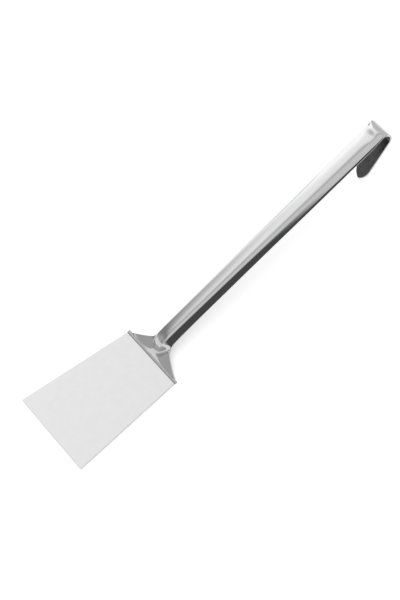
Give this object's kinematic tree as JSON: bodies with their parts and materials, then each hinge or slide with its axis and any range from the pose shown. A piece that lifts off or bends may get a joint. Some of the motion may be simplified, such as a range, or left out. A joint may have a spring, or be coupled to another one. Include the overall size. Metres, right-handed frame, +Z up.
{
  "type": "kitchen turner",
  "caption": "Steel kitchen turner with a flat trapezoid blade, a cranked flared neck, a channel-shaped handle and a hanging hook bent back under the handle's end.",
  "frame": {"origin": "middle of the tool's box, on the table that it lies on", "axes": "+X from the blade towards the hook, +Y across the tool, +Z up from the table"},
  "size_m": [0.3888, 0.0898, 0.0441],
  "materials": {
    "blade": "satin stainless steel",
    "handle": "mirror-polished stainless steel",
    "weld_seam": "dressed and polished weld"
  },
  "bodies": {
    "root": {"blade": "blade", "handle": "handle", "weld_seam": "weld_seam"}
  },
  "joints": []
}
